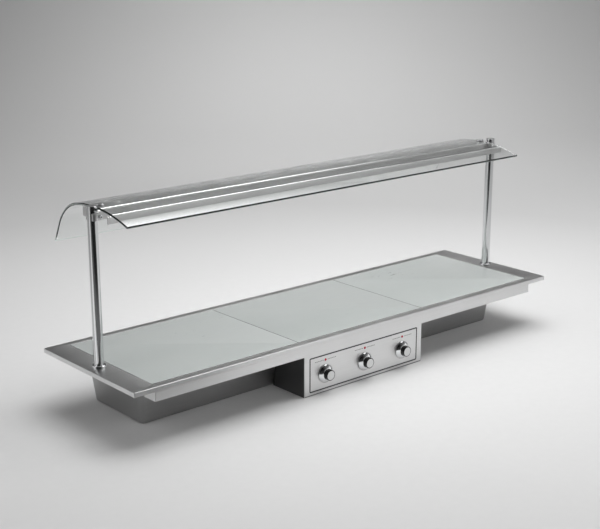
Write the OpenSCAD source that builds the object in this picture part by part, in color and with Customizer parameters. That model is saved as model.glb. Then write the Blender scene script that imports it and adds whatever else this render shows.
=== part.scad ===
// Drop-in heated glass-top buffet well with twin posts, lamp gantry and curved sneeze guard.
// Frame: millimetres, +X along the length, +Y to the customer side, +Z up.
// Origin: on the base plane, midway along the length and across the deck.

/* [Deck] */
// Overall length of the deck
deck_len = 1500; // [900:10:2200]
// Overall depth of the deck
deck_w = 416; // [300:1:700]
// Height of the deck top above the base plane
deck_h = 148; // [100:1:260]
// Height of the turned-down rim
lip_h = 12; // [6:1:40]
// Width of the plain flange at each end
end_flange = 64; // [30:1:120]
// Width of the plain flange at front and back
side_flange = 22; // [10:1:60]
// Thickness of the deck sheet
sheet = 2; // [1:0.5:3]
// Thickness of the glass tiles
tile_t = 6; // [4:0.5:10]
// Width of the sealed joint round each tile
seam = 1; // [0.5:0.5:4]

/* [Well] */
// Length of the heater well at its floor
well_len = 1280; // [600:10:1900]
// Depth of the heater well at its floor
well_w = 219; // [120:1:400]
// Distance of the well centre behind the deck centre
well_y = 29.5; // [-60:0.5:60]
// Lengthwise offset of everything below the deck
under_shift = -8; // [-30:1:30]
// Outward lean of the well walls, in degrees
well_lean = 8; // [0:0.5:15]
// Corner radius of the well at its floor
well_r = 14; // [10:1:40]
// Thickness of the well sheet
well_sheet = 1.5; // [1:0.5:3]

/* [Front] */
// Length of the apron below the front rim
apron_len = 1370; // [700:10:2100]
// Distance of the apron's lower edge below the deck top
apron_drop = 36; // [20:1:80]
// Depth of the apron's end returns
apron_return = 45; // [20:1:90]
// Width of the control box
box_w = 435; // [300:1:700]
// Width of the fascia plate
fascia_w = 397; // [260:1:640]
// Height of the fascia plate
fascia_h = 93; // [60:1:120]
// Height of the fascia's middle above the base plane
fascia_z = 57; // [30:0.5:90]

/* [Knobs] */
// Distance between neighbouring knobs
knob_pitch = 142.5; // [100:0.5:200]
// Height of the knob axes above the base plane
knob_z = 51.5; // [25:0.5:80]
// Diameter of the knob skirt
skirt_d = 50; // [36:1:70]
// Diameter of the knob grip
grip_d = 29; // [18:1:40]
// Distance from the knob's back to its front face
knob_h = 21; // [14:0.5:32]
// Height of the pilot lenses above the base plane
lens_z = 90; // [70:0.5:110]
// Diameter of the pilot lenses
lens_d = 7; // [4:0.5:10]

/* [Posts] */
// Distance of each post from the middle
post_x = 714.5; // [400:0.5:1060]
// Diameter of the posts
post_d = 25; // [16:0.5:40]
// Wall thickness of the posts
post_wall = 1.5; // [1:0.5:4]
// Height of the post tops above the deck
post_h = 404; // [250:1:700]
// Diameter of the collar at each post's foot
collar_d = 36; // [28:1:60]
// Height of the collars
collar_h = 6; // [3:0.5:20]

/* [Gantry] */
// Half length of the lamp housing
hood_half = 698; // [350:1:1040]
// Depth of the lamp housing
hood_w = 67; // [50:1:140]
// Height of the lamp housing
hood_h = 23; // [20:1:60]
// Height of the housing's top above the deck
hood_z = 389; // [240:1:680]
// Distance of the front rail's face in front of the post axes
rail_y = 52; // [30:1:120]
// Height of the front rail
rail_h = 18; // [10:1:40]
// Thickness of the front rail
rail_t = 5; // [3:0.5:12]

/* [Sneeze guard] */
// Thickness of the curved glass
glass_t = 6; // [4:0.5:12]
// Distance of the front edge in front of the post axes
glass_front_y = 123; // [60:1:250]
// Height of the front edge above the deck
glass_front_z = 368; // [200:1:680]
// Upward slope at the front edge, in degrees
glass_front_deg = 19.8; // [0:0.1:40]
// Radius of the shallow top curve, at mid-thickness
glass_r_top = 444; // [200:1:900]
// Slope where the tight curve starts, in degrees
glass_mid_deg = 9.6; // [0:0.1:30]
// Radius of the tight curve, at mid-thickness
glass_r_back = 119; // [60:1:300]
// Slope of the straight tail, in degrees
glass_tail_deg = 63.5; // [30:0.5:90]
// Length of the straight tail
glass_tail = 57; // [0:1:200]
// Distance of the clamp buttons from the middle
button_x = 683; // [300:1:1040]
// Distance of the clamp buttons behind the post axes
button_y = 15; // [8:0.5:60]
// Diameter of the clamp buttons
button_d = 20; // [14:1:40]

/* [Heaters] */
// Length of each heater plate
heater_len = 396; // [200:1:420]
// Depth of each heater plate
heater_w = 190; // [80:1:200]
// Thickness of each heater plate
heater_t = 8; // [4:0.5:12]
// Thickness of the insulation slab
wool_t = 26; // [10:1:40]

/* [Lamps] */
// Length of each reflector
reflector_len = 350; // [250:1:420]
// Depth of each reflector
reflector_w = 54; // [30:1:60]
// Length of each lamp tube
tube_len = 224; // [120:1:230]
// Diameter of the lamp tubes
tube_d = 9; // [6:0.5:11]

/* [Hidden] */
$fn = 96;
eps = 0.01; // overlap that joins two solids
field_len = deck_len - 2 * end_flange;
field_w = deck_w - 2 * side_flange;
tile_len = (field_len - 4 * seam) / 3;
tile_w = field_w - 2 * seam;
tile_pitch = tile_len + seam;
pan_z = deck_h - tile_t; // top of the ledge that carries the tiles
lean = tan(well_lean);
well_top = pan_z - sheet;
front_y = -deck_w / 2; // outer face of rim, apron and control box
panel_in = front_y + sheet;
front_x = under_shift - 2.5; // middle of control box and fascia
knob_x_mid = front_x - 1.5;
box_in_y = well_y - well_w / 2; // well wall at the base plane
fascia_t = 0.8;
fascia_in = front_y + fascia_t;
fascia_gap = 1.2; // groove round the fascia plate
knob_gap = 1.2; // between the fascia and the knobs' backs
knob_back = front_y - knob_gap;
shaft_r = 3;
shaft_clear = 0.05;
shaft_in = 14; // length of spindle inside the regulator
shaft_hold = knob_h - 6; // length of spindle inside the knob
bush_r = 5; // regulator's threaded bush
bush_hole_r = bush_r + 0.1;
nut_t = 2.2;
face_r = grip_d / 2 - 2.1; // discs in the knobs' faces
face_recess = 0.7;
box_top = deck_h - lip_h;
gland_y = -150;
gland_z = 62;
gland_thread_d = 20;
heater_pitch = well_len / 3 - 8;
coil_z = pan_z - heater_t; // top of the heaters' coils
coil_t = 6;
wool_top = coil_z - coil_t;
wool_y = well_y + 8; // insulation and tray sit behind the limiters
tray_t = 2;
tray_z = wool_top - wool_t - tray_t;
post_cap_t = 1.5;
post_foot = 22; // length of post below the deck top
post_bore = post_d - 2 * post_wall;
washer_t = 1.5;
post_top = deck_h + post_h;
hood_top = deck_h + hood_z;
hood_bot = hood_top - hood_h;
hood_sheet = 1.5;
hood_end_x = hood_half + hood_sheet;
rail_top = deck_h + 383.4;
rail_half = 703.5;
clamp_r = 18;
clamp_h = 17;
clamp_z = hood_bot + 3;
clamp_arm = 16; // half depth of the clamp's block between post and housing
clamp_head_d = 10; // head of the clamp's screw
clamp_screw_x = hood_end_x + 3.5;
lamp_pitch = tile_pitch;
lamp_screw = 159; // reflector screws either side of each lamp's middle
lamp_y = hood_w / 2;
lamp_screw_y = 39;
lamp_z = hood_bot + 7;
reflector_top = hood_top - hood_sheet - 2;
arm_x = [-600, -200, 200, 600]; // arms between the front rail and the housing
stud_d = 6; // studs of the glass buttons
stud_hole_d = stud_d + 0.2;
pad_t = 1.6; // rubber pads between the housing and the guard
washer_z = hood_top + 8.3; // just above the guard's crown

// ---- helpers ----

// block between two corners
module block(a, b) {
  translate(a) cube([b[0] - a[0], b[1] - a[1], b[2] - a[2]]);
}

// centred rectangle with round corners
module rrect(l, w, r) {
  square([l - 2 * r, w], center = true);
  square([l, w - 2 * r], center = true);
  for (sx = [-1, 1], sy = [-1, 1]) translate([sx * (l / 2 - r), sy * (w / 2 - r)]) circle(r = r);
}

// round-cornered slab
module slab(l, w, r, z0, z1) {
  translate([0, 0, z0]) linear_extrude(height = z1 - z0) rrect(l, w, r);
}

// straight pan block whose walls and corner radius grow evenly from bottom to top
module taper(l, w, r0, r1, z0, z1) {
  h = z1 - z0;
  cl = l / 2 - r0; // corner centres stay put
  cw = w / 2 - r0;
  translate([0, cw, z0]) rotate([90, 0, 0]) linear_extrude(height = 2 * cw)
    polygon([[-cl - r0, 0], [cl + r0, 0], [cl + r1, h], [-cl - r1, h]]);
  translate([-cl, 0, z0]) rotate([90, 0, 90]) linear_extrude(height = 2 * cl)
    polygon([[-cw - r0, 0], [cw + r0, 0], [cw + r1, h], [-cw - r1, h]]);
  for (sx = [-1, 1], sy = [-1, 1])
    translate([sx * cl, sy * cw, z0]) cylinder(r1 = r0, r2 = r1, h = h);
}

// the well's outer form with every face moved inwards by t, from the chamfered floor upwards
module well_form(t, z1) {
  c = 8; // floor chamfer
  translate([under_shift, well_y, 0]) {
    taper(well_len + 2 * (c * lean - c - t), well_w + 2 * (c * lean - c - t),
      well_r + c * lean - c - t, well_r + c * lean - t, t, c);
    taper(well_len + 2 * (c * lean - t), well_w + 2 * (c * lean - t),
      well_r + c * lean - t, well_r + z1 * lean - t, c, z1);
  }
}

// the part turned onto the front face, its axis pointing out of the front
module on_front(x, z, y = front_y) {
  translate([x, y, z]) rotate([90, 0, 0]) children();
}

// hexagonal prism by size across flats
module hex(af, h) {
  cylinder(d = af / cos(30), h = h, $fn = 6);
}

function knob_x(i) = knob_x_mid + (i - 2) * knob_pitch;

// ---- deck ----

module deck_frame() {
  color([0.62, 0.63, 0.63]) difference() {
    union() {
      slab(deck_len, deck_w, 2, deck_h - sheet, deck_h);
      difference() {
        slab(deck_len, deck_w, 2, deck_h - lip_h, deck_h);
        slab(deck_len - 2 * sheet, deck_w - 2 * sheet, 1, deck_h - lip_h - 1, deck_h - sheet + eps);
      }
      slab(field_len + 2 * sheet, field_w + 2 * sheet, 3, pan_z - sheet, deck_h - eps);
    }
    slab(field_len, field_w, 1.5, pan_z, deck_h + 1);
    translate([under_shift, well_y, 0])
      slab(well_len, well_w, 12, pan_z - sheet - 1, pan_z + 1);
    for (s = [-1, 1]) translate([s * post_x, 0, deck_h - 10]) cylinder(d = post_d + 0.4, h = 20);
  }
}

module tile(i) {
  color([0.76, 0.79, 0.78]) translate([i * tile_pitch, 0, 0])
    slab(tile_len, tile_w, 1, pan_z, deck_h);
}

module tile_left() { tile(-1); }
module tile_mid() { tile(0); }
module tile_right() { tile(1); }

module tile_seal() {
  color([0.45, 0.47, 0.46]) difference() {
    slab(field_len, field_w, 1.5, pan_z, deck_h - 0.4);
    for (i = [-1, 0, 1]) translate([i * tile_pitch, 0, 0])
      slab(tile_len, tile_w, 1, pan_z - 1, deck_h + 1);
  }
}

// ---- heaters inside the well ----

module heater(i) {
  margin = 28; // from the plate's ends to the coil
  coil_l = heater_len - 2 * margin;
  coil_w = heater_w - 2 * margin + 6;
  coil_b = 20; // width of the coil's loop
  color([0.55, 0.56, 0.58]) translate([under_shift + i * heater_pitch, well_y, 0]) {
    slab(heater_len, heater_w, 10, coil_z, pan_z);
    difference() {
      slab(coil_l, coil_w, 8, wool_top, coil_z + eps);
      slab(coil_l - coil_b, coil_w - coil_b, 6, wool_top - 1, coil_z - 2);
    }
  }
}

module heater_left() { heater(-1); }
module heater_mid() { heater(0); }
module heater_right() { heater(1); }

module limiters() {
  body_d = 16;
  body_h = 14;
  tab = [2, 6, 6];
  tab_x = 4; // tabs either side of the middle
  from_edge = 13; // from the heater's front edge
  color([0.85, 0.83, 0.76]) for (i = [-1, 0, 1])
    translate([under_shift + i * heater_pitch, well_y - heater_w / 2 + from_edge, coil_z - body_h]) {
      cylinder(d = body_d, h = body_h);
      for (s = [-1, 1]) translate([s * tab_x - tab[0] / 2, -tab_x, -tab[2]])
        cube([tab[0], tab[1], tab[2] + eps]);
    }
}

module insulation_slab() {
  wool_w = 160;
  end_gap = 20; // to the well's floor length, at each end
  color([0.88, 0.86, 0.74]) translate([under_shift, wool_y, 0])
    slab(well_len - 2 * end_gap, wool_w, 8, wool_top - wool_t, wool_top);
}

// channel that carries the insulation, on feet that stand on the well's floor
module carrier_tray() {
  end_gap = 18; // to the well's floor length, at each end
  half_l = well_len / 2 - end_gap;
  half_w = 82;
  wall_h = 20;
  foot = 20;
  foot_pitch = 0.29 * well_len;
  color([0.6, 0.61, 0.62]) translate([under_shift, wool_y, 0]) {
    block([-half_l, -half_w, tray_z], [half_l, half_w, tray_z + tray_t]);
    for (s = [-1, 1]) translate([0, s * (half_w - tray_t / 2), 0])
      block([-half_l, -tray_t / 2, tray_z], [half_l, tray_t / 2, tray_z + tray_t + wall_h]);
    for (k = [-1.5:1.5], s = [-1, 1]) translate([k * foot_pitch, s * (half_w - 2 * tray_t), 0])
      block([-foot / 2, -tray_t / 2, well_sheet], [foot / 2, tray_t / 2, tray_z + eps]);
  }
}

// ---- body below the deck ----

module well_tub() {
  flange_w = 10;
  grow = 2 * well_top * lean; // how much longer and deeper the well is at its top
  vent = [5, 60]; // cooling slots in the floor
  vent_pitch = 16;
  group_pitch = 0.3 * well_len;
  wire_d = 40; // way through for the wiring, from the control box
  color([0.42, 0.42, 0.42]) difference() {
    union() {
      well_form(0, well_top);
      translate([under_shift, well_y, 0]) slab(well_len + grow + 2 * flange_w,
        well_w + grow + 2 * flange_w, well_r + 2 * flange_w, well_top - well_sheet, well_top);
    }
    well_form(well_sheet, well_top + 1);
    for (g = [-1, 0, 1], k = [-3:3])
      translate([under_shift + g * group_pitch + k * vent_pitch, well_y, -1])
        slab(vent[0], vent[1], vent[0] / 2 - 0.1, 0, 4);
    translate([front_x, box_in_y - 0.75 * wire_d, 1.5 * wire_d]) rotate([-90, 0, 0])
      cylinder(d = wire_d, h = 1.5 * wire_d);
  }
}

// apron with folded ends, and the control box's face below its middle, in one sheet
module front_panel() {
  z0 = deck_h - apron_drop;
  half = apron_len / 2;
  r = 4; // outer corner radius
  fold = 16; // stiffening flange along the apron's lower edge
  color([0.72, 0.73, 0.72]) difference() {
    union() {
      translate([under_shift, front_y + apron_return, z0])
        linear_extrude(height = box_top - z0) difference() {
          rrect(apron_len, 2 * apron_return, r);
          rrect(apron_len - 2 * sheet, 2 * (apron_return - sheet), r - sheet);
          translate([-half - 1, 0]) square([apron_len + 2, 2 * apron_return]);
        }
      for (s = [-1, 1]) {
        inner = front_x + s * box_w / 2;
        outer = under_shift + s * (half - r);
        block([min(inner, outer), front_y, z0], [max(inner, outer), front_y + fold, z0 + sheet]);
      }
      block([front_x - box_w / 2, front_y, 0], [front_x + box_w / 2, panel_in, box_top]);
    }
    // seat for the fascia plate
    block([front_x - fascia_w / 2, front_y - 1, fascia_z - fascia_h / 2],
      [front_x + fascia_w / 2, fascia_in, fascia_z + fascia_h / 2]);
    front_holes(lens_d - 2);
  }
}

// holes for the regulators' bushes and for the pilot lenses
module front_holes(lens_hole) {
  for (i = [1, 2, 3]) {
    on_front(knob_x(i), knob_z) translate([0, 0, -10]) cylinder(r = bush_hole_r, h = 20);
    on_front(knob_x(i), lens_z) translate([0, 0, -10]) cylinder(d = lens_hole, h = 20);
  }
}

module control_box() {
  gap = 1; // to the well's leaning wall
  color([0.5, 0.5, 0.5]) difference() {
    union() {
      for (s = [-1, 1]) translate([front_x + s * (box_w / 2 - well_sheet / 2) - well_sheet / 2, 0, 0])
        rotate([90, 0, 90]) linear_extrude(height = well_sheet)
          polygon([[panel_in, 0], [box_in_y - gap, 0],
            [box_in_y - gap - box_top * lean, box_top], [panel_in, box_top]]);
      block([front_x - box_w / 2 + eps, panel_in, 0],
        [front_x + box_w / 2 - eps, box_in_y - gap, well_sheet]);
    }
    translate([front_x + box_w / 2 - 10, gland_y, gland_z]) rotate([0, 90, 0])
      cylinder(d = gland_thread_d + 0.2, h = 20);
  }
}

module fascia_plate() {
  half_l = fascia_w / 2 - fascia_gap;
  half_h = fascia_h / 2 - fascia_gap;
  color([0.74, 0.75, 0.74]) difference() {
    block([front_x - half_l, front_y, fascia_z - half_h], [front_x + half_l, fascia_in, fascia_z + half_h]);
    front_holes(lens_d);
  }
}

module pilot_lenses() {
  rim = lens_d - 0.1;
  proud = 0.4; // straight part in front of the fascia
  dome = 0.9;
  stem_d = lens_d - 2.2;
  stem = 12;
  color([0.75, 0.08, 0.16]) for (i = [1, 2, 3]) on_front(knob_x(i), lens_z, fascia_in) {
    cylinder(d = rim, h = fascia_t + proud);
    translate([0, 0, fascia_t + proud - eps]) cylinder(d1 = rim, d2 = rim - 2.4, h = dome);
    translate([0, 0, -stem]) cylinder(d = stem_d, h = stem + eps);
  }
}

// ---- controls ----

module regulator(i) {
  body = [36, 28, 36];
  tab = [0.8, 9, 6.3];
  tab_pitch = 7;
  bush_h = sheet + 3.6;
  color([0.16, 0.16, 0.17]) difference() {
    union() {
      translate([knob_x(i) - body[0] / 2, panel_in, knob_z - body[2] / 2]) cube(body);
      on_front(knob_x(i), knob_z, panel_in) cylinder(r = bush_r, h = bush_h);
      for (k = [-2:2])
        translate([knob_x(i) + k * tab_pitch - tab[0] / 2, panel_in + body[1] - eps, knob_z - tab[1]])
          cube(tab);
    }
    on_front(knob_x(i), knob_z, panel_in) translate([0, 0, -shaft_in - 0.2])
      cylinder(r = shaft_r + shaft_clear, h = shaft_in + bush_h + 10);
  }
}

module regulator_1() { regulator(1); }
module regulator_2() { regulator(2); }
module regulator_3() { regulator(3); }

module regulator_nuts() {
  af = 13;
  color([0.7, 0.66, 0.5]) for (i = [1, 2, 3]) on_front(knob_x(i), knob_z) difference() {
    hex(af, nut_t);
    translate([0, 0, -1]) cylinder(r = bush_r, h = nut_t + 2);
  }
}

module spindle(i) {
  color([0.6, 0.6, 0.62]) on_front(knob_x(i), knob_z, panel_in) translate([0, 0, -shaft_in])
    cylinder(r = shaft_r, h = shaft_in + sheet + knob_gap + shaft_hold);
}

module spindle_1() { spindle(1); }
module spindle_2() { spindle(2); }
module spindle_3() { spindle(3); }

// domed skirt with a plain round grip, bored from behind
module knob(i) {
  rs = skirt_d / 2;
  rg = grip_d / 2;
  neck = 9; // height where the skirt meets the grip
  rim = 2; // height of the skirt's edge
  bevel = 1.2;
  groove = [1.2, 1.5]; // pointer groove's width, and its reach beyond the grip
  hollow_r = 11; // room for the regulator's nut
  hollow_h = 5.5;
  // sphere through the rim's edge and the foot of the grip
  hc = (rg * rg + neck * neck - rs * rs - rim * rim) / (2 * (neck - rim));
  rd = sqrt(rs * rs + (rim - hc) * (rim - hc));
  color([0.82, 0.83, 0.84]) on_front(knob_x(i), knob_z, knob_back) difference() {
    union() {
      rotate_extrude() intersection() {
        translate([0, hc]) circle(r = rd, $fn = 128);
        square([rs, neck]);
      }
      cylinder(r = rg, h = knob_h - bevel);
      translate([0, 0, knob_h - bevel - eps]) cylinder(r1 = rg, r2 = rg - 0.8 * bevel, h = bevel);
    }
    translate([0, 0, -1]) cylinder(r = hollow_r, h = 1 + hollow_h);
    translate([0, 0, -1]) cylinder(r = shaft_r, h = 1 + shaft_hold);
    translate([0, 0, knob_h - face_recess]) cylinder(r = face_r + 0.1, h = 2);
    // pointer groove from the grip's top edge
    translate([-groove[0] / 2, rg - 0.5, neck + 1]) cube([groove[0], groove[1], knob_h]);
  }
}

module knob_1() { knob(1); }
module knob_2() { knob(2); }
module knob_3() { knob(3); }

module knob_face(i) {
  color([0.86, 0.86, 0.86]) on_front(knob_x(i), knob_z, knob_back) translate([0, 0, knob_h - face_recess])
    cylinder(r = face_r, h = 0.5);
}

module knob_face_1() { knob_face(1); }
module knob_face_2() { knob_face(2); }
module knob_face_3() { knob_face(3); }

module terminal_block() {
  body = [60, 20, 18];
  ways = 5;
  way = [5, 11, 12]; // diameter, pitch and depth
  from_side = 60; // from the box's right side to the block's middle
  from_well = 60; // from the well's wall at the base plane
  color([0.9, 0.88, 0.8]) translate([front_x + box_w / 2 - from_side, box_in_y - from_well, well_sheet])
    difference() {
      translate([-body[0] / 2, -body[1] / 2, 0]) cube(body);
      for (k = [0:ways - 1]) translate([(k - (ways - 1) / 2) * way[1], 0, body[2] - way[2]])
        cylinder(d = way[0], h = way[2] + 1);
    }
}

// gland for the supply cord: hexagon and tapered nose outside, locknut inside
module cable_gland() {
  af = 24;
  head = 6;
  neck = 5;
  nose = 6;
  nut = 4;
  thread = 10;
  neck_d = 21;
  nose_d = 16;
  cord_d = 10;
  color([0.1, 0.1, 0.11]) translate([front_x + box_w / 2, gland_y, gland_z]) rotate([0, 90, 0])
  difference() {
    union() {
      hex(af, head);
      translate([0, 0, head - eps]) cylinder(d = neck_d, h = neck);
      translate([0, 0, head + neck - 2 * eps]) cylinder(d1 = neck_d, d2 = nose_d, h = nose);
      translate([0, 0, -thread]) cylinder(d = gland_thread_d, h = thread + eps);
      translate([0, 0, -well_sheet - nut]) hex(af, nut);
    }
    translate([0, 0, -2 * thread]) cylinder(d = cord_d, h = 6 * thread);
  }
}

// ---- posts ----

module post(s) {
  color([0.75, 0.76, 0.77]) translate([s * post_x, 0, deck_h - post_foot]) difference() {
    cylinder(d = post_d, h = post_h + post_foot - post_cap_t);
    translate([0, 0, -1]) cylinder(d = post_bore, h = post_h + post_foot + 2);
  }
}

module post_left() { post(-1); }
module post_right() { post(1); }

module collar(s) {
  bevel = 2;
  color([0.8, 0.81, 0.82]) translate([s * post_x, 0, deck_h]) difference() {
    union() {
      cylinder(d = collar_d, h = collar_h - bevel);
      translate([0, 0, collar_h - bevel - eps])
        cylinder(d1 = collar_d, d2 = collar_d - 2.5 * bevel, h = bevel);
    }
    translate([0, 0, -1]) cylinder(d = post_d + 0.2, h = collar_h + 2);
  }
}

module collar_left() { collar(-1); }
module collar_right() { collar(1); }

module post_washers() {
  outer_d = 40;
  color([0.7, 0.7, 0.7]) for (s = [-1, 1])
    translate([s * post_x, 0, deck_h - sheet - washer_t]) difference() {
      cylinder(d = outer_d, h = washer_t);
      translate([0, 0, -1]) cylinder(d = post_d + 0.4, h = washer_t + 2);
    }
}

module post_locknuts() {
  nut = 7;
  af = 36;
  color([0.66, 0.64, 0.58]) for (s = [-1, 1])
    translate([s * post_x, 0, deck_h - sheet - washer_t - nut]) difference() {
      hex(af, nut);
      translate([0, 0, -1]) cylinder(d = post_d, h = nut + 2);
    }
}

module post_caps() {
  plug = 8;
  color([0.72, 0.73, 0.73]) for (s = [-1, 1]) translate([s * post_x, 0, post_top - post_cap_t]) {
    cylinder(d1 = post_d, d2 = post_d - 1, h = post_cap_t);
    translate([0, 0, -plug]) cylinder(d = post_bore, h = plug + eps);
  }
}

// ---- gantry ----

module lamp_housing() {
  screw_hole_d = 4.2;
  color([0.55, 0.55, 0.56]) difference() {
    block([-hood_half, 0, hood_bot], [hood_half, hood_w, hood_top]);
    block([-hood_half - 1, hood_sheet, hood_bot - 1],
      [hood_half + 1, hood_w - hood_sheet, hood_top - hood_sheet]);
    for (i = [-1, 0, 1], s = [-1, 1])
      translate([i * lamp_pitch + s * lamp_screw, lamp_screw_y, hood_top - 5])
        cylinder(d = screw_hole_d, h = 10);
    button_holes(stud_hole_d, hood_top - 5, 10);
  }
}

// holes for the two clamp buttons
module button_holes(d, z, h) {
  for (s = [-1, 1]) translate([s * button_x, button_y, z]) cylinder(d = d, h = h);
}

module housing_end(s) {
  wire_d = 8; // cable way from the post
  wire_y = 7;
  color([0.55, 0.55, 0.56]) difference() {
    block([s > 0 ? hood_half : -hood_end_x, 0, hood_bot],
      [s > 0 ? hood_end_x : -hood_half, hood_w, hood_top]);
    translate([s * hood_half - 5, wire_y, clamp_z + clamp_h / 2]) rotate([0, 90, 0])
      cylinder(d = wire_d, h = 10);
  }
}

module housing_end_left() { housing_end(-1); }
module housing_end_right() { housing_end(1); }

// open clamp that holds the housing's end to the post
module clamp(s) {
  mouth = 8; // distance of the open side beyond the post's axis
  big = 100; // cuts the ends off square
  screw_hole_d = 3.2;
  color([0.62, 0.63, 0.64]) difference() {
    union() {
      translate([s * post_x, 0, clamp_z]) cylinder(r = clamp_r, h = clamp_h);
      block([s > 0 ? hood_end_x : -post_x, -clamp_arm, clamp_z],
        [s > 0 ? post_x : -hood_end_x, clamp_arm, clamp_z + clamp_h]);
    }
    translate([s * post_x, 0, clamp_z - 1]) cylinder(d = post_d + 0.1, h = clamp_h + 2);
    for (x = [post_x + mouth + big / 2, hood_end_x - big / 2])
      translate([s * x - big / 2, -big / 2, clamp_z - 1]) cube([big, big, clamp_h + 2]);
    translate([s * clamp_screw_x, -clamp_arm, clamp_z + clamp_h / 2]) rotate([90, 0, 0]) {
      translate([0, 0, -8]) cylinder(d = screw_hole_d, h = 9);
      cylinder(d = clamp_head_d + 0.6, h = 5); // flat seat for the screw's head
    }
  }
}

module clamp_left() { clamp(-1); }
module clamp_right() { clamp(1); }

module clamp_screws() {
  head = 3.5;
  crown = 1.2;
  stem = [3.1, 7];
  socket = [4, 2.3]; // hexagonal, across the flats and deep
  color([0.8, 0.8, 0.8]) for (s = [-1, 1])
    translate([s * clamp_screw_x, -clamp_arm, clamp_z + clamp_h / 2]) rotate([90, 0, 0]) {
      difference() {
        union() {
          cylinder(d = clamp_head_d, h = head);
          translate([0, 0, head - eps]) cylinder(d1 = clamp_head_d, d2 = 0.7 * clamp_head_d, h = crown);
        }
        translate([0, 0, head + crown - socket[1]]) hex(socket[0], 4);
      }
      translate([0, 0, -stem[1]]) cylinder(d = stem[0], h = stem[1] + eps);
    }
}

module front_rail() {
  color([0.6, 0.61, 0.61])
    block([-rail_half, -rail_y, rail_top - rail_h], [rail_half, -rail_y + rail_t, rail_top]);
}

module rail_arms() {
  arm = [20, 3]; // width and thickness
  color([0.6, 0.61, 0.61]) for (x = arm_x)
    block([x - arm[0] / 2, -rail_y + rail_t, hood_bot], [x + arm[0] / 2, 0, hood_bot + arm[1]]);
}

module rail_gasket() {
  color([0.12, 0.12, 0.12])
    block([-hood_half, -rail_y + 0.5, rail_top], [hood_half, -rail_y + rail_t - 0.5, rail_top + 0.7]);
}

// guard section: shallow top, tight curve, straight tail, each side offset from mid-thickness
module guard_solid() {
  steps_top = 20;
  steps_back = 30;
  yc1 = -glass_front_y + glass_r_top * sin(glass_front_deg);
  zc1 = deck_h + glass_front_z - glass_r_top * cos(glass_front_deg);
  yc2 = yc1 + (glass_r_top - glass_r_back) * sin(glass_mid_deg);
  zc2 = zc1 + (glass_r_top - glass_r_back) * cos(glass_mid_deg);
  sides = [for (d = [glass_t / 2, -glass_t / 2]) concat(
    [for (k = [0:steps_top]) let (a = -glass_front_deg + k / steps_top * (glass_front_deg + glass_mid_deg))
      [yc1 + (glass_r_top + d) * sin(a), zc1 + (glass_r_top + d) * cos(a)]],
    [for (k = [1:steps_back]) let (a = glass_mid_deg + k / steps_back * (glass_tail_deg - glass_mid_deg))
      [yc2 + (glass_r_back + d) * sin(a), zc2 + (glass_r_back + d) * cos(a)]],
    [[yc2 + (glass_r_back + d) * sin(glass_tail_deg) + glass_tail * cos(glass_tail_deg),
      zc2 + (glass_r_back + d) * cos(glass_tail_deg) - glass_tail * sin(glass_tail_deg)]])];
  last = len(sides[1]) - 1;
  translate([-hood_half, 0, 0]) rotate([90, 0, 90]) linear_extrude(height = 2 * hood_half)
    polygon(concat(sides[0], [for (k = [last:-1:0]) sides[1][k]]));
}

module sneeze_glass() {
  color([0.7, 0.82, 0.8, 0.35]) difference() {
    guard_solid();
    button_holes(10, hood_top - 5, 30);
  }
}

module glass_pads() {
  color([0.12, 0.12, 0.12]) difference() {
    for (x = [-button_x, -lamp_pitch / 2, lamp_pitch / 2, button_x])
      translate([x, button_y, hood_top]) cylinder(d = button_d, h = pad_t);
    button_holes(stud_hole_d, hood_top - 1, pad_t + 2);
  }
}

module glass_washers() {
  color([0.12, 0.12, 0.12]) difference() {
    for (s = [-1, 1]) translate([s * button_x, button_y, washer_z]) cylinder(d = button_d - 1, h = 1);
    button_holes(stud_hole_d, washer_z - 1, 3);
  }
}

// round heads above the glass, studs through it, and nuts inside the housing
module glass_buttons() {
  head = 8;
  crown = 2;
  drop = washer_z + 1 - hood_top;
  tail = 8; // stud below the housing's top
  nut = [11, 3];
  color([0.82, 0.83, 0.84]) for (s = [-1, 1]) translate([s * button_x, button_y, washer_z + 1]) {
    cylinder(d = button_d, h = head);
    translate([0, 0, head - eps]) cylinder(d1 = button_d, d2 = button_d - 2 * crown, h = crown);
    translate([0, 0, -drop - tail]) cylinder(d = stud_d, h = drop + tail + eps);
    translate([0, 0, -drop - hood_sheet - nut[1]]) cylinder(d = nut[0], h = nut[1]);
  }
}

// blocks with a tapering trough along their underside
module lamp_reflectors() {
  depth = 15;
  edge = 1; // thickness of the trough's lower edges
  crown = 28; // width of the trough's flat top
  screw_hole_d = 3.4;
  color([0.8, 0.81, 0.82]) for (i = [-1, 0, 1]) translate([i * lamp_pitch, lamp_y, 0]) difference() {
    block([-reflector_len / 2, -reflector_w / 2, reflector_top - depth],
      [reflector_len / 2, reflector_w / 2, reflector_top]);
    translate([-reflector_len / 2 - 1, 0, reflector_top]) rotate([90, 0, 90])
      linear_extrude(height = reflector_len + 2)
        polygon([[-reflector_w / 2 + edge, -depth - 1], [reflector_w / 2 - edge, -depth - 1],
          [crown / 2, -1], [-crown / 2, -1]]);
    for (s = [-1, 1])
      translate([s * lamp_screw, lamp_screw_y - lamp_y, reflector_top - 5])
        cylinder(d = screw_hole_d, h = 10);
  }
}

module lamp_tubes() {
  color([0.9, 0.88, 0.85, 0.6]) for (i = [-1, 0, 1])
    translate([i * lamp_pitch - tube_len / 2, lamp_y, lamp_z]) rotate([0, 90, 0])
      cylinder(d = tube_d, h = tube_len);
}

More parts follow.
